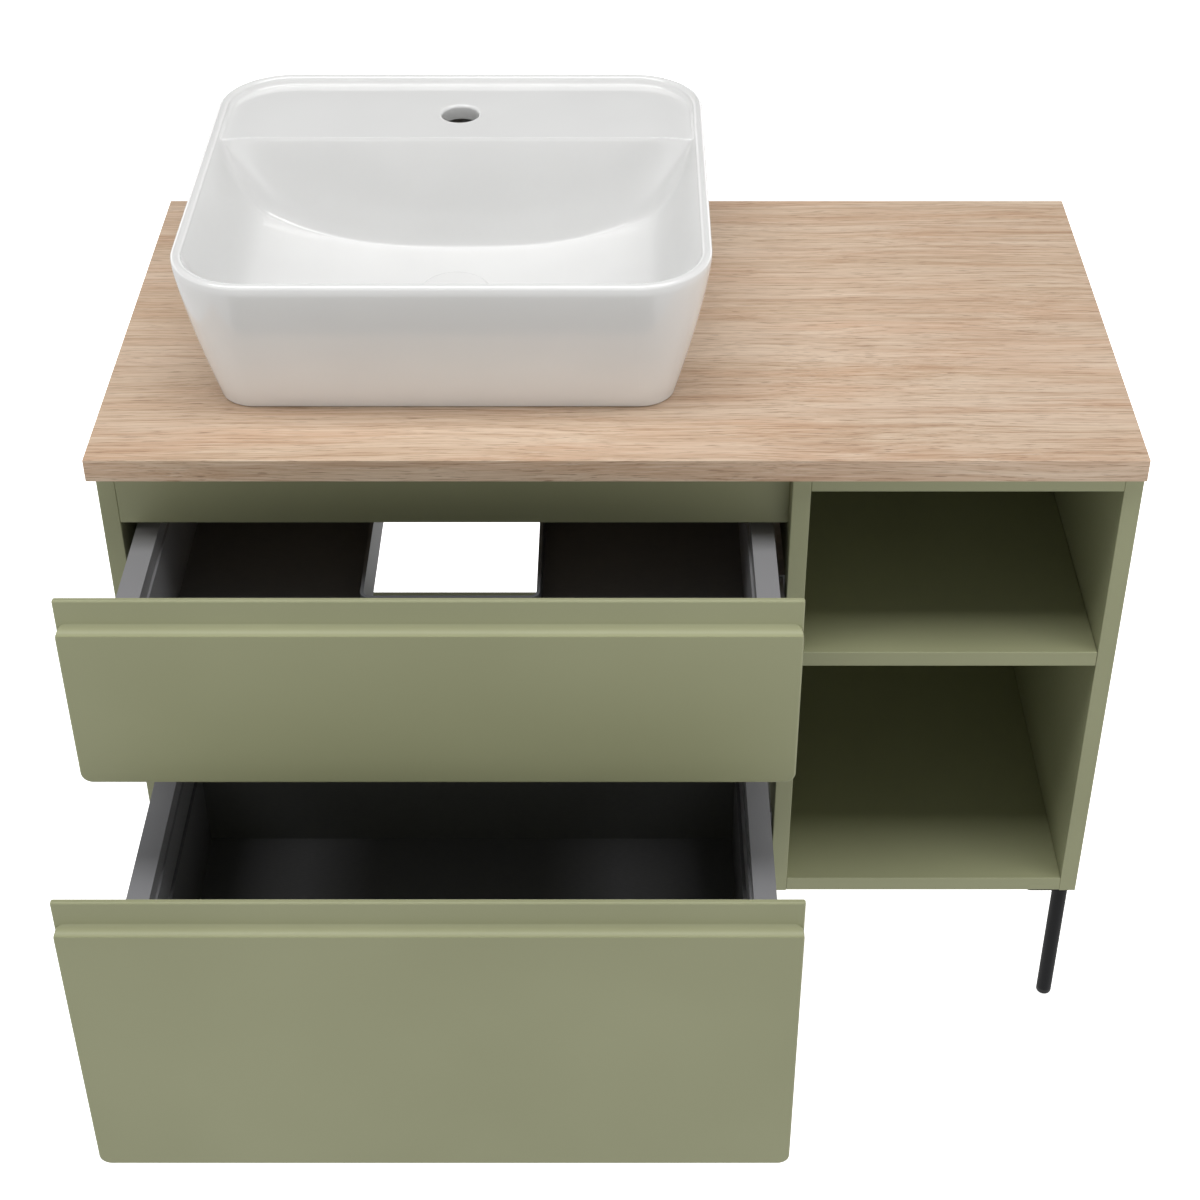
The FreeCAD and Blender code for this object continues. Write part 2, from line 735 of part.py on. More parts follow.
def rear_brackets(z0, height):
    """Steel angles that tie the back board to the ends of the sides."""
    x0 = drawer_left_x + side_step
    x1 = x0 + rear_bracket_width
    y1 = drawer_rear_y + rear_bracket_thickness
    plate = block(x0, x1, drawer_rear_y, y1, z0 + 3 * side_step, z0 + height - 2 * back_drop)
    return [plate, mirrored(plate, (drawer_left_x + drawer_right_x) / 2)]


def runner_members(z0):
    """Cabinet, middle and drawer members of the left runner, nested in the side gap."""
    x = left_inner_x
    y = front_back_y + runner_front_inset + front_gap
    length = drawer_length - runner_front_inset - front_gap
    z = z0 + runner_rise
    t = runner_wall
    p = runner_play
    gap = side_clearance

    def channel(x_web, reach, low, high, thickness):
        """A C section: an upright web at x_web and two flanges that reach sideways."""
        side = 1 if reach > 0 else -1
        web = block(*sorted((x_web, x_web + side * thickness)), y, y + length, low, high)
        f0, f1 = sorted((x_web, x_web + reach))
        top = block(f0, f1, y, y + length, high - thickness, high)
        foot = block(f0, f1, y, y + length, low, low + thickness)
        return web.fuse(top).fuse(foot).removeSplitter()

    cabinet = channel(x, gap - p - t, z, z + runner_height, t)
    inset = t + p
    middle = channel(x + t + p, gap - 2 * (t + p) - t, z + inset, z + runner_height - inset, t)
    inset = 2 * (t + p)
    drawer = channel(x + gap, -(gap - 3 * (t + p)), z + inset, z + runner_height - inset, t)
    return cabinet, middle, drawer


def runner_screws(clearance=0.0):
    """Flat-headed screws, head flush in the member's web, or their holes with a clearance."""
    shapes = []
    middle_x = (left_inner_x + divider_x) / 2
    outward = Vector(-1, 0, 0)
    start = front_back_y + front_gap + runner_front_inset
    for side_z in (lower_side_z, upper_side_z):
        z = side_z + runner_rise + runner_height / 2
        for offset in runner_screw_places:
            y = start + offset
            face = Vector(left_inner_x + runner_wall, y, z)
            head = rod(runner_head_radius + clearance, face, outward, runner_wall)
            shank = rod(screw_radius, Vector(left_inner_x, y, z), outward, runner_screw_length)
            both = head.fuse(shank).removeSplitter()
            shapes += [both, mirrored(both, middle_x)]
    return shapes


def place(shapes, travel):
    """Carry shapes forward out of the cabinet by travel."""
    shapes = shapes if isinstance(shapes, list) else [shapes]
    moved = []
    for shape in shapes:
        copy = shape.copy()
        copy.translate(Vector(0, -travel, 0))
        moved.append(copy)
    return moved


def make_runners(name, z0, travel):
    middle_x = (left_inner_x + divider_x) / 2
    cabinet, middle, drawer = runner_members(z0)
    cabinet = cabinet.cut(Part.makeCompound(runner_screws(0.1)))
    export(name + "_runner_cabinet_rails", [cabinet, mirrored(cabinet, middle_x)])
    export(name + "_runner_middle_rails", place([middle, mirrored(middle, middle_x)], travel / 2))
    export(name + "_runner_drawer_rails", place([drawer, mirrored(drawer, middle_x)], travel))


def make_drawer_shell(name, z0, height, front_z0, front_z1, travel):
    """What both drawers share: front, sides, blocks, screws, rear brackets, bumpers, runners."""
    middle_x = (drawer_left_x + drawer_right_x) / 2
    blocks, screws = fixing_blocks(z0, height)
    front = drawer_front(front_z0, front_z1)
    for each in screws:
        middle = each.BoundBox.Center
        start = Vector(middle.x, front_back_y + 1, middle.z)
        hole = rod(screw_radius + hole_gap, start, Vector(0, -1, 0), front_screw_bite + 2)
        front = front.cut(hole)
    export(name + "_front", place(front, travel))
    side = drawer_side(z0, height)
    export(name + "_side_left", place(side, travel))
    export(name + "_side_right", place(mirrored(side, middle_x), travel))
    export(name + "_fixing_blocks", place(blocks, travel))
    export(name + "_front_screws", place(screws, travel))
    export(name + "_rear_brackets", place(rear_brackets(z0, height), travel))
    export(name + "_bumpers", place(bumpers(front_z0, front_z1), travel))
    make_runners(name, z0, travel)


def make_lower_drawer():
    name = "lower_drawer"
    z0 = lower_side_z
    height = lower_side_height
    make_drawer_shell(name, z0, height, lower_front_z, lower_front_top, lower_open)
    floor_z = z0 + sheet
    floor_top = floor_z + drawer_board
    rear = drawer_rear_y
    floor = block(floor_left_x, floor_right_x, front_back_y, rear, floor_z, floor_top)
    export(name + "_bottom", place(floor, lower_open))
    back = block(floor_left_x, floor_right_x, rear - drawer_board, rear, floor_top, z0 + height - back_drop)
    export(name + "_back", place(back, lower_open))
    top = z0 + height - side_step_drop - side_panel_band
    y1 = rear - drawer_board - side_panel_rear_gap
    x1 = floor_left_x + side_panel_thickness
    inner = block(floor_left_x, x1, front_back_y + 0.5, y1, floor_top, top)
    export(name + "_side_board_left", place(inner, lower_open))
    middle_x = (drawer_left_x + drawer_right_x) / 2
    export(name + "_side_board_right", place(mirrored(inner, middle_x), lower_open))


def make_upper_drawer():
    name = "upper_drawer"
    z0 = upper_side_z
    height = upper_side_height
    make_drawer_shell(name, z0, height, upper_front_z, upper_front_top, upper_open)
    floor_z = z0 + sheet
    floor_top = floor_z + drawer_board
    rear = drawer_rear_y
    far = rear + 2 * drawer_board
    radius = liner_corner
    notch_x0 = cutout_left_x - liner_wall - liner_gap
    notch_x1 = cutout_right_x + liner_wall + liner_gap
    notch_y0 = cutout_front_y - liner_gap
    notch = rounded_block(notch_x0, notch_x1, notch_y0, far, z0, floor_top + 1, radius + liner_gap)
    floor = block(floor_left_x, floor_right_x, front_back_y, rear, floor_z, floor_top)
    export(name + "_bottom", place(floor.cut(notch), upper_open))
    export(name + "_cutout_liner", place(cutout_liner(floor_z, floor_top + liner_rise), upper_open))
    back_top = z0 + height - back_drop
    for side, x0, x1 in (("left", floor_left_x, notch_x0), ("right", notch_x1, floor_right_x)):
        back = block(x0, x1, rear - drawer_board, rear, floor_top, back_top)
        export("%s_back_%s" % (name, side), place(back, upper_open))


def cutout_liner(z0, z1):
    """A thin upright wall round the trap cut-out's three sides, open to the rear."""
    rear = drawer_rear_y
    far = rear + 2 * drawer_board
    x0, x1 = cutout_left_x, cutout_right_x
    w = liner_wall
    outer = rounded_block(x0 - w, x1 + w, cutout_front_y, far, z0, z1, liner_corner)
    hollow = rounded_block(x0, x1, cutout_front_y + w, far + 5, z0 - 1, z1 + 1, liner_corner - w)
    tail = block(x0 - 2 * w, x1 + 2 * w, rear, far + 10, z0 - 2, z1 + 2)
    return outer.cut(hollow).cut(tail)


make_carcass()
make_worktop()
make_legs()
make_basin()
make_waste()
make_lower_drawer()
make_upper_drawer()
export("runner_screws", runner_screws())
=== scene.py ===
# %% [markdown]
# # A vessel sink on a sage green vanity
# The cabinet, drawers, runners, legs and waste come from the design model as fixed nodes. This file
# gives every one of them its finish, makes the basin and the waste's cap as smooth surfaces, and
# lights the whole thing like a product shot. Every length is in metres, except where a name says mm.

# %% Load the frame
import bpy
import json
import math
import numpy as np
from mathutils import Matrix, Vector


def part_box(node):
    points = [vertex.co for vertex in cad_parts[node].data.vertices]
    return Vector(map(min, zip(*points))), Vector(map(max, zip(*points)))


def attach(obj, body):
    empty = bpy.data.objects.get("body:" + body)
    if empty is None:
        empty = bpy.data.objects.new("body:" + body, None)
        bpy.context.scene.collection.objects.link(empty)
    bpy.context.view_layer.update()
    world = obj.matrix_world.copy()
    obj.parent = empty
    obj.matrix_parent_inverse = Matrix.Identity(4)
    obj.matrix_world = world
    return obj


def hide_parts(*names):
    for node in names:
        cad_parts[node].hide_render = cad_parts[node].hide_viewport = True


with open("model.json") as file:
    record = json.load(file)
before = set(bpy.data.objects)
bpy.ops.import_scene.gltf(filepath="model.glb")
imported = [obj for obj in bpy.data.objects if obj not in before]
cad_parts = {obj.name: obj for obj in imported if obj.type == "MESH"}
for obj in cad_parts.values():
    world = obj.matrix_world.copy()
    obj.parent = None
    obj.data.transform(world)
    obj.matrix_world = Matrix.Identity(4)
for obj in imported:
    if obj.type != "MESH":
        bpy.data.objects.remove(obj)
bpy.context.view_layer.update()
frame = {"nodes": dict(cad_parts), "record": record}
nodes = frame["nodes"]
MM = 0.001

# %% [markdown]
# ## Two small tools for materials
# Colours are chosen as sRGB hex codes, the numbers a paint chart would give, but Blender works in
# linear light, so one function converts them. A second function adds any node at all: its settings,
# its input values and its links come in one call, which keeps each finish short enough to read.
# Every finish below has the same three parts, a tint, a roughness and a bump, so one function links
# them to the shader.

# %% Colour and node helpers
def srgb(code):
    """Hex code to linear RGBA: each channel c becomes c/12.92 when dark, else ((c+0.055)/1.055)^2.4."""
    values = [int(code[i:i + 2], 16) / 255 for i in (0, 2, 4)]
    linear = [v / 12.92 if v <= 0.04045 else ((v + 0.055) / 1.055) ** 2.4 for v in values]
    return (*linear, 1.0)


def add(tree, kind, inputs=None, **settings):
    """Adds a node of a kind. Settings are its properties; inputs are values, or sockets to link."""
    node = tree.nodes.new("ShaderNode" + kind)
    for name, value in settings.items():
        setattr(node, name, value)
    for name, value in (inputs or {}).items():
        if isinstance(value, bpy.types.NodeSocket):
            tree.links.new(value, node.inputs[name])
        else:
            node.inputs[name].default_value = value
    return node


def new_finish(name, **surface):
    """A material with one Principled shader; surface holds the values that are the same all over."""
    material = bpy.data.materials.new(name)
    material.use_nodes = True
    tree = material.node_tree
    tree.nodes.clear()
    shader = add(tree, "BsdfPrincipled", {k.replace("_", " "): v for k, v in surface.items()})
    add(tree, "OutputMaterial", {"Surface": shader.outputs["BSDF"]})
    return material, tree, shader


def place_pattern(tree, scale=(1, 1, 1)):
    """The piece's own coordinates in metres, stretched by scale, so that a pattern has a real size."""
    inputs = {"Vector": add(tree, "TexCoord").outputs["Object"], "Scale": scale}
    return add(tree, "Mapping", inputs).outputs["Vector"]


def noise(tree, detail, scale=1.0, stretch=(1, 1, 1)):
    """Noise from 0 to 1, about scale features a metre, or stretch features a metre along each axis."""
    inputs = {"Vector": place_pattern(tree, stretch), "Scale": scale, "Detail": detail}
    return add(tree, "TexNoise", inputs).outputs["Fac"]


def mix_colours(tree, factor, low, high):
    """A mix from the colour low to the colour high by a factor socket."""
    node = add(tree, "Mix", {"Factor": factor}, data_type="RGBA")
    for index, value in ((6, low), (7, high)):
        if isinstance(value, bpy.types.NodeSocket):
            tree.links.new(value, node.inputs[index])
        else:
            node.inputs[index].default_value = value
    return node.outputs[2]


def remap(tree, value, low, high, new_low=0.0, new_high=1.0):
    """Carries low..high of a value to new_low..new_high, and holds it there outside."""
    ends = {"From Min": low, "From Max": high, "To Min": new_low, "To Max": new_high}
    return add(tree, "MapRange", {"Value": value, **ends}).outputs["Result"]


def tinted(tree, value, low, high, code, lighter):
    """The colour code where a value is at low, the colour lighter where it is at high."""
    return mix_colours(tree, remap(tree, value, low, high), srgb(code), srgb(lighter))


def dress(tree, shader, tint, rough, height, strength, distance):
    """Links a tint and a roughness to a shader, and a bump whose height is worth distance metres."""
    tree.links.new(tint, shader.inputs["Base Color"])
    tree.links.new(rough, shader.inputs["Roughness"])
    bump = add(tree, "Bump", {"Height": height, "Strength": strength, "Distance": distance})
    tree.links.new(bump.outputs["Normal"], shader.inputs["Normal"])


print("helpers ready; mid grey 808080 is", round(srgb("808080")[0], 3), "in linear light")

# %% [markdown]
# ## Sage green lacquer on MDF
# The cabinet is MDF sprayed with a satin two-part lacquer. Sprayed lacquer is never quite flat: it
# dries into a faint ripple, called orange peel, a few millimetres across, and the film's thickness
# drifts a little over a panel. A flat colour would look like plastic, so a broad noise moves the
# tint by a hair and a fine noise gives the ripple to the bump and to the roughness.

# %% Lacquer
def sage_lacquer():
    finish, tree, shader = new_finish("sage_lacquer_on_mdf", IOR=1.5, Specular_IOR_Level=0.42)
    tint = tinted(tree, noise(tree, 2.0, 5.0), 0.3, 0.7, "999b79", "9ea07e")
    peel_mm = 2.5
    peel = noise(tree, 1.5, 1 / (peel_mm * MM))
    dress(tree, shader, tint, remap(tree, peel, 0.25, 0.75, 0.40, 0.48), peel, 0.10, 0.00012)
    return finish


# %% [markdown]
# ## Oak decor laminate
# The worktop is particle board in a printed oak laminate, embossed so that the pores can be felt.
# The grain runs along the width. Real grain has several scales at once: soft bands where the rings
# are wide or narrow, pinkish patches, fine fibres a millimetre or two apart, and short dark pores.
# Each scale is a noise stretched along X, and a slow sideways warp keeps the lines from being ruler
# straight.

# %% Oak
def oak_laminate():
    finish, tree, shader = new_finish("oak_decor_laminate", IOR=1.5, Specular_IOR_Level=0.35)
    plain = place_pattern(tree)
    inputs = {"Vector": place_pattern(tree, (2.2, 6, 6)), "Scale": 1.0, "Detail": 2.0}
    wander = add(tree, "TexNoise", inputs).outputs["Color"]

    def combine(operation, first, second):
        """One sum, difference or product of two vectors."""
        return add(tree, "VectorMath", {0: first, 1: second}, operation=operation).outputs[0]

    push = combine("MULTIPLY", combine("SUBTRACT", wander, (0.5, 0.5, 0.5)), (0.0, 0.035, 0.035))
    warped = combine("ADD", plain, push)

    def streaks(length_mm, width_mm, detail, roughness=0.5):
        """Noise in the warped grain, one feature about length by width."""
        size = (1 / (length_mm * MM), 1 / (width_mm * MM), 1 / (width_mm * MM))
        stretched = add(tree, "Mapping", {"Vector": warped, "Scale": size}).outputs["Vector"]
        inputs = {"Vector": stretched, "Scale": 1.0, "Detail": detail, "Roughness": roughness}
        return add(tree, "TexNoise", inputs).outputs["Fac"]

    bands = streaks(620, 34, 3.0)
    patches = streaks(240, 26, 2.0)
    rings = streaks(330, 8, 3.0, 0.6)
    fibres = streaks(120, 1.7, 3.0, 0.66)
    pores = streaks(24, 0.9, 2.0)
    tint = tinted(tree, bands, 0.30, 0.70, "cbb197", "dac4ae")
    layers = (  # value, where it starts, where it is full, how strong it is then, its colour
        (patches, 0.45, 0.70, 0.50, "cba486"),
        (rings, 0.44, 0.74, 0.58, "ae8a6c"),
        (fibres, 0.50, 0.72, 0.65, "e4d2bd"),
        (fibres, 0.45, 0.30, 0.62, "9c785a"),
        (pores, 0.58, 0.70, 0.62, "7f6047"),
    )
    for value, start, full, strength, code in layers:
        tint = mix_colours(tree, remap(tree, value, start, full, 0.0, strength), tint, srgb(code))
    depth = add(tree, "Math", {0: fibres, 1: pores}, operation="SUBTRACT").outputs[0]
    dress(tree, shader, tint, remap(tree, fibres, 0.3, 0.7, 0.52, 0.42), depth, 0.25, 0.0003)
    return finish


# %% [markdown]
# ## White glazed ceramic
# Sanitary ware is fired clay under a thick, glassy white glaze. The eye sees two things: a bright
# diffuse white from the clay, and sharp reflections from the glass over it. The glaze pools into a
# very gentle wave, centimetres long, so the highlights bend slightly instead of being perfect.

# %% Glaze
def white_glaze():
    surface = {"IOR": 1.52, "Coat_Weight": 0.35, "Coat_Roughness": 0.03, "Coat_IOR": 1.5}
    finish, tree, shader = new_finish("white_glazed_ceramic", **surface)
    tint = tinted(tree, noise(tree, 2.0, 7.0), 0.35, 0.65, "e4e4e3", "e8e8e7")
    rough = remap(tree, noise(tree, 1.0, 160.0), 0.3, 0.7, 0.10, 0.15)
    dress(tree, shader, tint, rough, noise(tree, 1.0, 22.0), 0.08, 0.001)
    return finish


# %% [markdown]
# ## Powder coat
# The drawer sides and the legs are steel with a baked powder coat. Powder melts into a pebbled skin
# with bumps near a millimetre, which breaks reflections up and makes the metal look soft. The same
# recipe serves the grey sides, the black legs and the grey liner, with other colours.

# %% Powder coat
def powder_coat(name, code, lighter, roughness, specular=0.5):
    finish, tree, shader = new_finish(name, IOR=1.5, Specular_IOR_Level=specular)
    pebble_mm = 0.9
    pebble = noise(tree, 2.0, 1 / (pebble_mm * MM))
    tint = tinted(tree, noise(tree, 2.0, 9.0), 0.3, 0.7, code, lighter)
    rough = remap(tree, pebble, 0.3, 0.7, roughness - 0.05, roughness + 0.05)
    dress(tree, shader, tint, rough, pebble, 0.22, 0.00015)
    return finish


# %% [markdown]
# ## Anthracite melamine board
# The drawers' floors and backs are board faced with paper soaked in melamine and pressed against a
# textured plate. The plate leaves a fine, slightly streaked matt grain, so the noise is stretched
# along the board.

# %% Melamine
def anthracite_melamine():
    finish, tree, shader = new_finish("anthracite_melamine", IOR=1.5, Specular_IOR_Level=0.4)
    grain = noise(tree, 3.0, stretch=(1 / (6 * MM), 1 / (1.2 * MM), 1 / (1.2 * MM)))
    tint = tinted(tree, grain, 0.3, 0.7, "68686a", "707072")
    dress(tree, shader, tint, remap(tree, grain, 0.3, 0.7, 0.42, 0.54), grain, 0.25, 0.0001)
    return finish


# %% [markdown]
# ## Metals: zinc plate, chrome and turned brass
# Runners, brackets and screws are steel with blue-clear zinc plate: a grey metal whose crystals make
# a cloudy, slightly iridescent patchwork and whose rolling direction leaves fine lines. Chrome is
# the same idea with almost no roughness. The back nut is brass from a lathe, so its fine lines are
# rings round an upright axis.

# %% Metals
def drawn_metal(name, code, lighter, roughness, line_scale):
    """Metal with clouds in its tint and fine lines in its roughness, line_scale features a metre."""
    finish, tree, shader = new_finish(name, Metallic=1.0)
    tint = tinted(tree, noise(tree, 3.0, 60.0), 0.35, 0.65, code, lighter)
    lines = noise(tree, 2.0, stretch=line_scale)
    spread = min(0.07, roughness * 0.4)
    rough = remap(tree, lines, 0.3, 0.7, roughness - spread, roughness + spread)
    dress(tree, shader, tint, rough, lines, 0.12, 0.00005)
    return finish


# %% [markdown]
# ## Plastics and rubber
# Glides, fixing blocks and bumpers are injection moulded. The mould is spark eroded, which leaves an
# even, very fine grain. Rubber seals take the same grain with more roughness.

# %% Moulded plastic
def moulded(name, code, lighter, roughness, **surface):
    finish, tree, shader = new_finish(name, IOR=1.49, **surface)
    grain_mm = 0.7
    grain = noise(tree, 2.0, 1 / (grain_mm * MM))
    tint = tinted(tree, grain, 0.3, 0.7, code, lighter)
    rough = remap(tree, grain, 0.3, 0.7, roughness - 0.05, roughness + 0.05)
    dress(tree, shader, tint, rough, grain, 0.2, 0.0001)
    return finish


# %% [markdown]
# ## Beech dowels
# Dowels are turned beech: pale, pinkish, with short flecks along the grain.

# %% Beech
def beech():
    finish, tree, shader = new_finish("turned_beech", IOR=1.5, Specular_IOR_Level=0.3)
    fleck = noise(tree, 3.0, stretch=(1 / (8 * MM), 1 / (0.9 * MM), 1 / (0.9 * MM)))
    tint = tinted(tree, fleck, 0.35, 0.7, "d9b68b", "b98a5d")
    dress(tree, shader, tint, remap(tree, fleck, 0.3, 0.7, 0.55, 0.68), fleck, 0.3, 0.0002)
    return finish


# %% Give every node its finish
finishes = {
    "sage_lacquer": sage_lacquer(),
    "oak_worktop": oak_laminate(),
    "basin_glaze": white_glaze(),
    "grey_coat": powder_coat("grey_powder_coat", "848487", "8a8a8d", 0.38),
    "black_coat": powder_coat("black_powder_coat", "131315", "19191b", 0.5, 0.22),
    "grey_liner": powder_coat("grey_liner_plastic", "606266", "686a6e", 0.42),
    "anthracite_board": anthracite_melamine(),
    "zinc_steel": drawn_metal("zinc_plated_steel", "a9acb1", "bfc0bf", 0.34, (40, 900, 900)),
    "chrome_waste": drawn_metal("chrome_plate", "d6d8da", "dedfe0", 0.08, (200, 200, 900)),
    "waste_brass": drawn_metal("turned_brass", "c2a25a", "cfb06a", 0.30, (120, 120, 2500)),
    "waste_rubber": moulded("black_seal_rubber", "1b1b1b", "242424", 0.62),
    "black_plastic": moulded("black_polypropylene", "161616", "1d1d1d", 0.45),
    "white_plastic": moulded("white_acetal", "dcdcd8", "e6e6e2", 0.40),
    "clear_bumper": moulded("clear_soft_bumper", "c9cbc8", "d6d8d4", 0.35, Transmission_Weight=0.5),
    "beech_dowel": beech(),
}
slots = {part["node"]: part["material_slot"] for part in frame["record"]["subparts"]}
for name, piece in nodes.items():
    piece.data.materials.clear()
    piece.data.materials.append(finishes[slots[name]])
print("finishes:", len(finishes), "on", len(slots), "nodes")

# %% [markdown]
# ## The basin
# A vessel basin is cast in one piece, and everything on it is round: the walls lean and swell, the
# rim rolls over, the bowl's floor is dished, and a steep wall under the tap deck meets that dished
# floor in a smile-shaped line. Box modelling with subdivision would make those curves by eye. A
# height function says them outright: the bowl's top side is z = f(x, y), built from simple shapes
# joined by soft minimum and soft maximum, and the outside is a stack of rounded rectangles. Both
# share one ring of points, so the surface is closed without any sewing.

# %% Soft joins and rounded rectangles
def soft_max(a, b, radius):
    """The larger of a and b, with the corner between them rounded over a height of radius.
    Where |a-b| < radius it adds radius/4 * (1 - |a-b|/radius)^2."""
    return np.maximum(a, b) + radius / 4 * np.clip(1 - np.abs(a - b) / radius, 0, None) ** 2


def soft_min(a, b, radius):
    """The smaller of a and b, rounded in the same way."""
    return -soft_max(-a, -b, radius)


def inward_distance(x, y, half_x, half_y, corner):
    """How far a point lies inside a rounded rectangle about the origin, from its nearest edge."""
    qx = np.abs(x) - (half_x - corner)
    qy = np.abs(y) - (half_y - corner)
    outside = np.hypot(np.maximum(qx, 0), np.maximum(qy, 0))
    return corner - outside - np.minimum(np.maximum(qx, qy), 0)


# %% Basin sizes, in millimetres from the design's own box
def box_mm(name):
    low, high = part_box(name)
    return np.array(low) / MM, np.array(high) / MM


basin_low, basin_high = box_mm("basin")
waste_low, waste_high = box_mm("waste_body")
basin_x = (basin_low[0] + basin_high[0]) / 2
basin_y = (basin_low[1] + basin_high[1]) / 2
half_width = (basin_high[0] - basin_low[0]) / 2
half_depth = (basin_high[1] - basin_low[1]) / 2
foot_z = basin_low[2]
rim_z = basin_high[2]
drain_x, drain_y = (waste_low + waste_high)[:2] / 2
floor_z = waste_high[2]
rim_width = 9.0
rim_round = 4.2
deck_z = rim_z - 8.0
crease_y = half_depth - 122.0        # the deck's front edge, from the basin's middle
tap_y = half_depth - 72.0
outer_corner = 66.0
foot_corner = 32.0
foot_round = 2.5
foot_inset = {"side": 29.5, "front": 33.0, "back": 26.0}
tap_radius, tap_lip = 17.5, 3.0
drain_radius, drain_lip = 32.0, 2.0  # the seat that the waste's flange lies in
passage_radius = 22.5                # the hole under it that the waste's body goes through
print("basin", 2 * half_width, "x", 2 * half_depth, "mm, bowl", rim_z - floor_z, "mm deep")

# %% [markdown]
# The grid for the bowl has rows that run from side to side. Where the outline's corners are round,
# the rows' ends follow the arc, so the grid's border is exactly the outline. Rows crowd together
# round the crease and the steep wall behind the drain, where the surface bends most.

# %% Grid rows and the ring of border points
COLUMNS = 121
CORNER_ROWS = 14
MIDDLE_ROWS = 118


def crowded(count, low, high, centre, width, strength):
    """count values from low to high whose spacing shrinks round centre: equal steps of the integral
    of 1 + strength * exp(-((y - centre) / width)^2)."""
    fine = np.linspace(low, high, 2000)
    density = 1 + strength * np.exp(-((fine - centre) / width) ** 2)
    total = np.cumsum(density)
    return np.interp(np.linspace(total[0], total[-1], count), total, fine)


def across():
    """Column places from -1 to 1, close together at both ends: sign(t) * (1 - (1 - |t|)^1.8)."""
    t = np.linspace(-1, 1, COLUMNS)
    return np.sign(t) * (1 - (1 - np.abs(t)) ** 1.8)


inner_half_x = half_width - rim_width
inner_half_y = half_depth - rim_width
inner_corner = outer_corner - rim_width
straight = inner_half_y - inner_corner
row_share = crowded(MIDDLE_ROWS, -straight, straight, crease_y - 10, 16, 6.0) / straight
corner_turn = np.linspace(0, math.pi / 2, CORNER_ROWS, endpoint=False)


def row_ends(half_x, half_y, corner):
    """(x, y) of each row's right end: front corner arc, straight side, back corner arc."""
    front_x = half_x - corner + corner * np.sin(corner_turn)
    front_y = -half_y + corner - corner * np.cos(corner_turn)
    middle_y = row_share * (half_y - corner)
    x = np.concatenate([front_x, np.full(MIDDLE_ROWS, half_x), front_x[::-1]])
    y = np.concatenate([front_y, middle_y, -front_y[::-1]])
    return x, y


def grid(half_x, half_y, corner):
    """Rows by columns of x and y that fill a rounded rectangle about the origin."""
    x, y = row_ends(half_x, half_y, corner)
    return x[:, None] * across()[None, :], np.repeat(y[:, None], COLUMNS, axis=1)


def border(table):
    """A grid's border as one ring, anticlockwise from the front left corner."""
    return np.concatenate([table[0, :-1], table[:-1, -1], table[-1, :0:-1], table[:0:-1, 0]])


def ring(side, front, back, corner, z):
    """One closed outline of the basin, drawn in from its widest size by side, front and back."""
    half_x = half_width - side
    half_y = half_depth - (front + back) / 2
    x, y = grid(half_x, half_y, corner)
    x, y = border(x), border(y) + (front - back) / 2
    return np.stack([x, y, np.full(len(x), z)], axis=1)


# %% [markdown]
# The bowl's height: a floor that is flat round the drain and rises with the cube of the distance to
# the sides and the front, a steep wall under the deck, the flat deck itself, and the leaning inner
# wall that hangs from the rim. The floor meets the steep wall in a tight line in the middle and in
# a wide, soft corner at each side.

# %% Bowl height
def bowl_height(x, y):
    """Height over (x, y): soft_max(soft_min(soft_max(floor, back wall), deck), leaning wall)."""
    rise = 6.1e-6                        # millimetres of height for each cubic millimetre of run
    flat_front = 35                      # the floor starts to rise this far in front of the drain
    back_slope, wall_slope = 5.1, 2.55   # millimetres of height for each millimetre of run
    to_front = np.clip(drain_y - basin_y - flat_front - y, 0, None)
    floor = floor_z + rise * np.abs(x - (drain_x - basin_x)) ** 3 + rise * to_front ** 3
    back_wall = deck_z - back_slope * (crease_y - y)
    corner = np.clip((np.abs(x) - 110) / 100, 0, 1) ** 1.5
    bowl = soft_max(floor, back_wall, 14.0 + 110.0 * corner)
    decked = soft_min(bowl, np.full_like(bowl, deck_z), 3.0)
    inside = inward_distance(x, y, inner_half_x, inner_half_y, inner_corner)
    wall = rim_z - rim_round - wall_slope * inside
    below_deck = np.clip((deck_z - decked) / 40, 0, 1)
    return soft_max(decked, wall, 4.0 + 30.0 * below_deck)


def basin_rings():
    """All outlines from the rim's inner edge, over the rolled rim, down the wall and round the foot.
    The wall's inset grows as the 1.3th power of the distance below the rim."""
    turn = np.linspace(0, math.pi / 2, 7)
    wall = np.linspace(1, 0, 22)[1:] ** 1.05
    rings = []
    for angle in turn[1:]:
        inset = rim_width - rim_round * (1 - math.cos(angle))
        z = rim_z - rim_round * (1 - math.sin(angle))
        rings.append(ring(inset, inset, inset, outer_corner - inset, z))
    for angle in turn[:-1]:
        inset = rim_round * (1 - math.sin(angle))
        z = rim_z - rim_round * (1 - math.cos(angle))
        rings.append(ring(inset, inset, inset, outer_corner - inset, z))
    for share in wall:
        z = foot_z + foot_round + share * (rim_z - rim_round - foot_z - foot_round)
        lean = (1 - share) ** 1.3
        corner = outer_corner + (foot_corner - outer_corner) * lean
        rings.append(ring(*(foot_inset[k] * lean for k in ("side", "front", "back")), corner, z))
    for angle in turn[1:]:
        inset = foot_round * (1 - math.cos(angle))
        z = foot_z + foot_round * (1 - math.sin(angle))
        edges = [foot_inset[k] + inset for k in ("side", "front", "back")]
        rings.append(ring(*edges, foot_corner - inset, z))
    return rings


# %% [markdown]
# One function puts any closed set of points and quads into a mesh. The basin's parts are the top
# grid, the rings and a flat grid for the foot, all with matching borders.

# %% Mesh helpers
SHARP_FOLD = math.radians(35)


def shade_smooth(mesh):
    """Smooth shading everywhere except at folds sharper than SHARP_FOLD."""
    mesh.polygons.foreach_set("use_smooth", [True] * len(mesh.polygons))
    mesh.set_sharp_from_angle(angle=SHARP_FOLD)


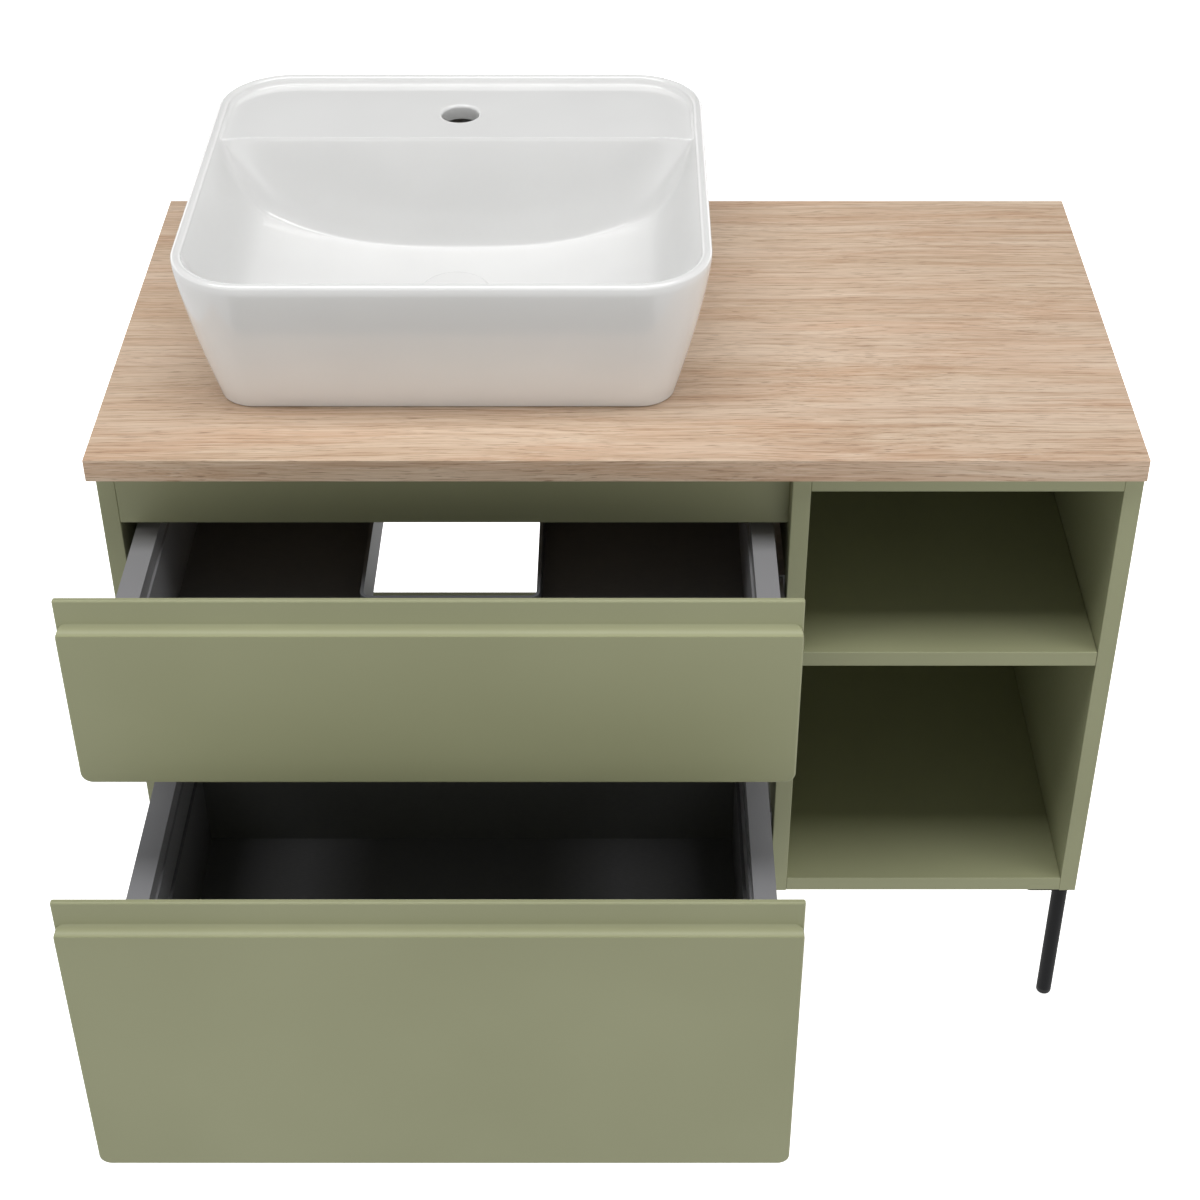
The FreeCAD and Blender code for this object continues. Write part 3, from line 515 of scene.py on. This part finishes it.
def make_piece(name, points_mm, faces, finish):
    """A mesh object at the origin from points in millimetres."""
    mesh = bpy.data.meshes.new(name)
    faces = faces.tolist() if isinstance(faces, np.ndarray) else faces
    mesh.from_pydata((np.asarray(points_mm) * MM).tolist(), [], faces)
    shade_smooth(mesh)
    mesh.materials.append(finish)
    mesh.update()
    piece = bpy.data.objects.new(name, mesh)
    bpy.context.scene.collection.objects.link(piece)
    return piece


def grid_faces(rows, columns, start=0):
    """Quads of a rows by columns grid whose points are numbered from start, facing up."""
    index = np.arange(rows * columns).reshape(rows, columns) + start
    a, b, c, d = index[:-1, :-1], index[:-1, 1:], index[1:, 1:], index[1:, :-1]
    return np.stack([a, b, c, d], axis=-1).reshape(-1, 4)


def band_faces(upper, lower):
    """Quads between two rings of point numbers, facing away from the rings' middle."""
    after_upper = np.roll(upper, -1)
    after_lower = np.roll(lower, -1)
    return np.stack([upper, lower, after_lower, after_upper], axis=1)


def lathe(profile, centre, steps):
    """Points and faces of a closed solid of revolution about an upright axis. The profile is (r, z)
    pairs going up the outside; its first and last points lie on the axis."""
    radius, height = np.array(profile, float)[1:-1].T
    turn = np.linspace(0, 2 * math.pi, steps, endpoint=False)
    x = centre[0] + radius[:, None] * np.cos(turn)[None, :]
    y = centre[1] + radius[:, None] * np.sin(turn)[None, :]
    z = np.repeat(height[:, None], steps, axis=1)
    points = np.stack([x, y, z], axis=-1).reshape(-1, 3)
    poles = np.array([[*centre, profile[0][1]], [*centre, profile[-1][1]]])
    rows = np.arange(len(radius) * steps).reshape(len(radius), steps)
    faces = []
    for low, high in zip(rows[:-1], rows[1:]):
        faces += band_faces(high, low).tolist()
    bottom, top = len(points), len(points) + 1
    faces += [[bottom, b, a] for a, b in zip(rows[0], np.roll(rows[0], -1))]
    faces += [[top, a, b] for a, b in zip(rows[-1], np.roll(rows[-1], -1))]
    return np.concatenate([points, poles]), faces


# %% Basin mesh
def make_basin():
    x, y = grid(inner_half_x, inner_half_y, inner_corner)
    rows, columns = x.shape
    top = np.stack([x, y, bowl_height(x, y)], axis=-1)
    index = np.arange(rows * columns).reshape(rows, columns)
    points = [top.reshape(-1, 3)]
    faces = [grid_faces(rows, columns)]
    last = border(index)
    start = rows * columns
    rings = basin_rings()
    for outline in rings[:-1]:
        points.append(outline)
        here = np.arange(len(outline)) + start
        faces.append(band_faces(last, here))
        last = here
        start += len(outline)
    inset = foot_inset
    half_x = half_width - inset["side"] - foot_round
    half_y = half_depth - (inset["front"] + inset["back"]) / 2 - foot_round
    foot_x, foot_y = grid(half_x, half_y, foot_corner - foot_round)
    foot_y = foot_y + (inset["front"] - inset["back"]) / 2
    foot = np.stack([foot_x, foot_y, np.full_like(foot_x, foot_z)], axis=-1)
    points.append(foot.reshape(-1, 3))
    faces.append(band_faces(last, border(index + start)))
    faces.append(grid_faces(rows, columns, start)[:, ::-1])
    all_points = np.concatenate(points) + (basin_x, basin_y, 0)
    return make_piece("glazed_basin", all_points, np.concatenate(faces), finishes["basin_glaze"])


basin = make_basin()
print("basin faces:", len(basin.data.polygons))

# %% [markdown]
# Three openings are cut: the tap hole with its rounded lip, the drain with its seat, and the hollow
# that the casting leaves under the deck. A boolean is right here, because each cutter is a simple
# exact shape and the surface round the holes is flat. The cutters are solids of revolution and one
# rounded block, and they are thrown away once the cut is applied.

# %% Cut the openings
def cut(piece, points, faces):
    """Takes a closed cutter away from a piece and leaves no modifier behind."""
    cutter = make_piece("cutter", points, faces, finishes["basin_glaze"])
    change = piece.modifiers.new("cut", "BOOLEAN")
    change.operation = "DIFFERENCE"
    change.solver = "EXACT"
    change.object = cutter
    bpy.context.view_layer.update()
    graph = bpy.context.evaluated_depsgraph_get()
    made = bpy.data.meshes.new_from_object(piece.evaluated_get(graph))
    piece.modifiers.clear()
    old = piece.data
    piece.data = made
    bpy.data.meshes.remove(old)
    bpy.data.objects.remove(cutter)


def lipped_hole(radius, lip, surface_z, bottom_z):
    """Profile of a hole whose edge rolls into the surface: r grows by lip over a quarter circle."""
    turn = np.linspace(0, math.pi / 2, 8)
    roll = [(radius + lip * (1 - math.cos(a)), surface_z - lip * (1 - math.sin(a))) for a in turn]
    flare = radius + lip
    return [(0, bottom_z), (radius, bottom_z), *roll, (flare, surface_z + 20), (0, surface_z + 20)]


hollow_top = deck_z - 14.0
hollow_half_x = half_width - foot_inset["side"] - 18.0
hollow_front = crease_y + 12.0
hollow_back = half_depth - foot_inset["back"] - 12.0
hollow_half_y = (hollow_back - hollow_front) / 2


def hollow_block():
    """A block with rounded corners that reaches from below the foot to the deck's underside."""
    x, y = grid(hollow_half_x, hollow_half_y, 12.0)
    x = border(x) + basin_x
    y = border(y) + basin_y + (hollow_front + hollow_back) / 2
    low = np.stack([x, y, np.full(len(x), foot_z - 5)], axis=1)
    high = low + (0, 0, hollow_top - foot_z + 5)
    count = len(x)
    sides = band_faces(np.arange(count) + count, np.arange(count)).tolist()
    caps = [list(range(count))[::-1], list(range(count, 2 * count))]
    return np.concatenate([low, high]), sides + caps


tap_centre = (basin_x, basin_y + tap_y)
drain_centre = (drain_x, drain_y)
cut(basin, *hollow_block())
below_foot = foot_z - 5
tap_hole = lipped_hole(tap_radius, tap_lip, deck_z, hollow_top - 3)
drain_seat = lipped_hole(drain_radius, drain_lip, floor_z, floor_z - 5)
passage = [(0, below_foot), (passage_radius, below_foot), (passage_radius, floor_z), (0, floor_z)]
cut(basin, *lathe(tap_hole, tap_centre, 96))
cut(basin, *lathe(drain_seat, drain_centre, 96))
cut(basin, *lathe(passage, drain_centre, 64))
shade_smooth(basin.data)
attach(basin, "cabinet")
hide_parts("basin")
print("openings cut; faces now", len(basin.data.polygons))

# %% [markdown]
# ## The waste's cap
# The push-down cap is turned and glazed to match the basin: a shallow dome with a soft edge. Its
# profile is one curve, z = top - dome * (r / R)^2, rolled over at the rim, carried round the drain's
# axis. The stem under it runs in the waste's guide.

# %% Cap
def make_cap():
    low, high = box_mm("waste_cap")
    outer = (high[0] - low[0]) / 2
    top = high[2]
    edge_round, dome, stem = 2.2, 0.9, 4.0
    under = top - 5.0
    turn = np.linspace(0, math.pi / 2, 7)
    profile = [(0, low[2]), (stem, low[2]), (stem, under), (outer - 1.2, under), (outer, under + 1.2)]
    for a in turn:
        r = outer - edge_round * (1 - math.cos(a))
        z = top - dome - edge_round * (1 - math.sin(a))
        profile.append((r, z))
    inner = outer - edge_round
    for r in np.linspace(inner, 0, 16)[1:]:
        profile.append((r, top - dome * (r / inner) ** 2))
    points, faces = lathe(profile, drain_centre, 96)
    return make_piece("glazed_waste_cap", points, faces, finishes["basin_glaze"])


cap = make_cap()
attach(cap, "waste_plug")
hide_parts("waste_cap")
print("cap faces:", len(cap.data.polygons))

# %% [markdown]
# ## Floor, light and camera
# The floor is plain and pale. One long strip box hangs overhead, a little in front of the worktop and
# along its length: it is narrow from front to back, so the worktop's edge throws a crisp shadow into
# the drawers, and wide from side to side, so nothing throws a hard shadow sideways. A bright band in
# the world round the horizon, at the cabinet's own height, lights the fronts, and the pale world
# below the horizon sends some light up. The dome between the band and the strip is nearly dark, so
# that the open niche and the drawers fall away into shade.

# %% Floor
def make_floor():
    size, drop = 12.0, 0.0005
    mesh = bpy.data.meshes.new("floor")
    corners = [(-size, -size), (size, -size), (size, size), (-size, size)]
    mesh.from_pydata([(x, y, -drop) for x, y in corners], [], [(0, 1, 2, 3)])
    finish, _, shader = new_finish("pale_studio_floor", Roughness=0.9, Specular_IOR_Level=0.1)
    shader.inputs["Base Color"].default_value = srgb("fafafa")
    shader.inputs["Emission Color"].default_value = srgb("ffffff")
    shader.inputs["Emission Strength"].default_value = 1.0
    mesh.materials.append(finish)
    floor = bpy.data.objects.new("floor", mesh)
    bpy.context.scene.collection.objects.link(floor)
    floor.visible_diffuse = False
    floor.visible_glossy = False
    floor.visible_shadow = False


make_floor()


# %% Light
def make_world():
    """A bright band round the horizon, dimmer in front, over a pale floor and under a dark dome."""
    world = bpy.data.worlds.new("soft_studio")
    world.use_nodes = True
    tree = world.node_tree
    tree.nodes.clear()
    way = add(tree, "TexCoord").outputs["Generated"]
    direction = add(tree, "SeparateXYZ", {"Vector": way})
    ramp = add(tree, "ValToRGB", {"Fac": remap(tree, direction.outputs["Z"], -1.0, 1.0)})
    ring = 1.6
    below = ((0.0, 0.8), (0.38, 0.7))
    above = ((0.64, 0.12), (0.93, 0.15), (1.0, 0.4))
    stops = (*below, (0.42, ring), (0.60, ring), *above)
    for index, (place, level) in enumerate(stops):
        stop = ramp.color_ramp.elements[index] if index < 2 else ramp.color_ramp.elements.new(place)
        stop.position = place
        stop.color = (level, level, level, 1.0)
    front = remap(tree, direction.outputs["Y"], -1.0, 0.0, 0.85, 1.0)
    glow = add(tree, "Background", {"Color": ramp.outputs["Color"], "Strength": front})
    add(tree, "OutputWorld", {"Surface": glow.outputs["Background"]})
    bpy.context.scene.world = world


def soft_box(name, place, aim, size, power):
    """A rectangular area light at place that faces aim."""
    light = bpy.data.lights.new(name, "AREA")
    light.shape = "RECTANGLE"
    light.size, light.size_y = size
    light.energy = power
    lamp = bpy.data.objects.new(name, light)
    bpy.context.scene.collection.objects.link(lamp)
    lamp.location = place
    way = np.array(aim) - np.array(place)
    flat = math.hypot(way[0], way[1])
    lamp.rotation_euler = (math.atan2(flat, -way[2]), 0, math.atan2(-way[0], way[1]))


make_world()
soft_box("overhead_strip", (0.0, -0.62, 4.2), (0.0, -0.1, 0.6), (6.0, 1.35), 150.0)


# %% Camera
def make_camera():
    """Stands in front of the cabinet above eye level and looks down on it."""
    lens = bpy.data.cameras.new("camera")
    lens.lens = 66.63
    lens.sensor_width = 36.0
    lens.shift_x = -0.01367
    lens.shift_y = -0.0833
    camera = bpy.data.objects.new("camera", lens)
    bpy.context.scene.collection.objects.link(camera)
    camera.location = (0.0, -1.6102, 1.7402)
    camera.rotation_euler = (math.radians(54.21), 0.0, 0.0)
    bpy.context.scene.camera = camera


make_camera()
bpy.context.scene.view_settings.view_transform = "Standard"
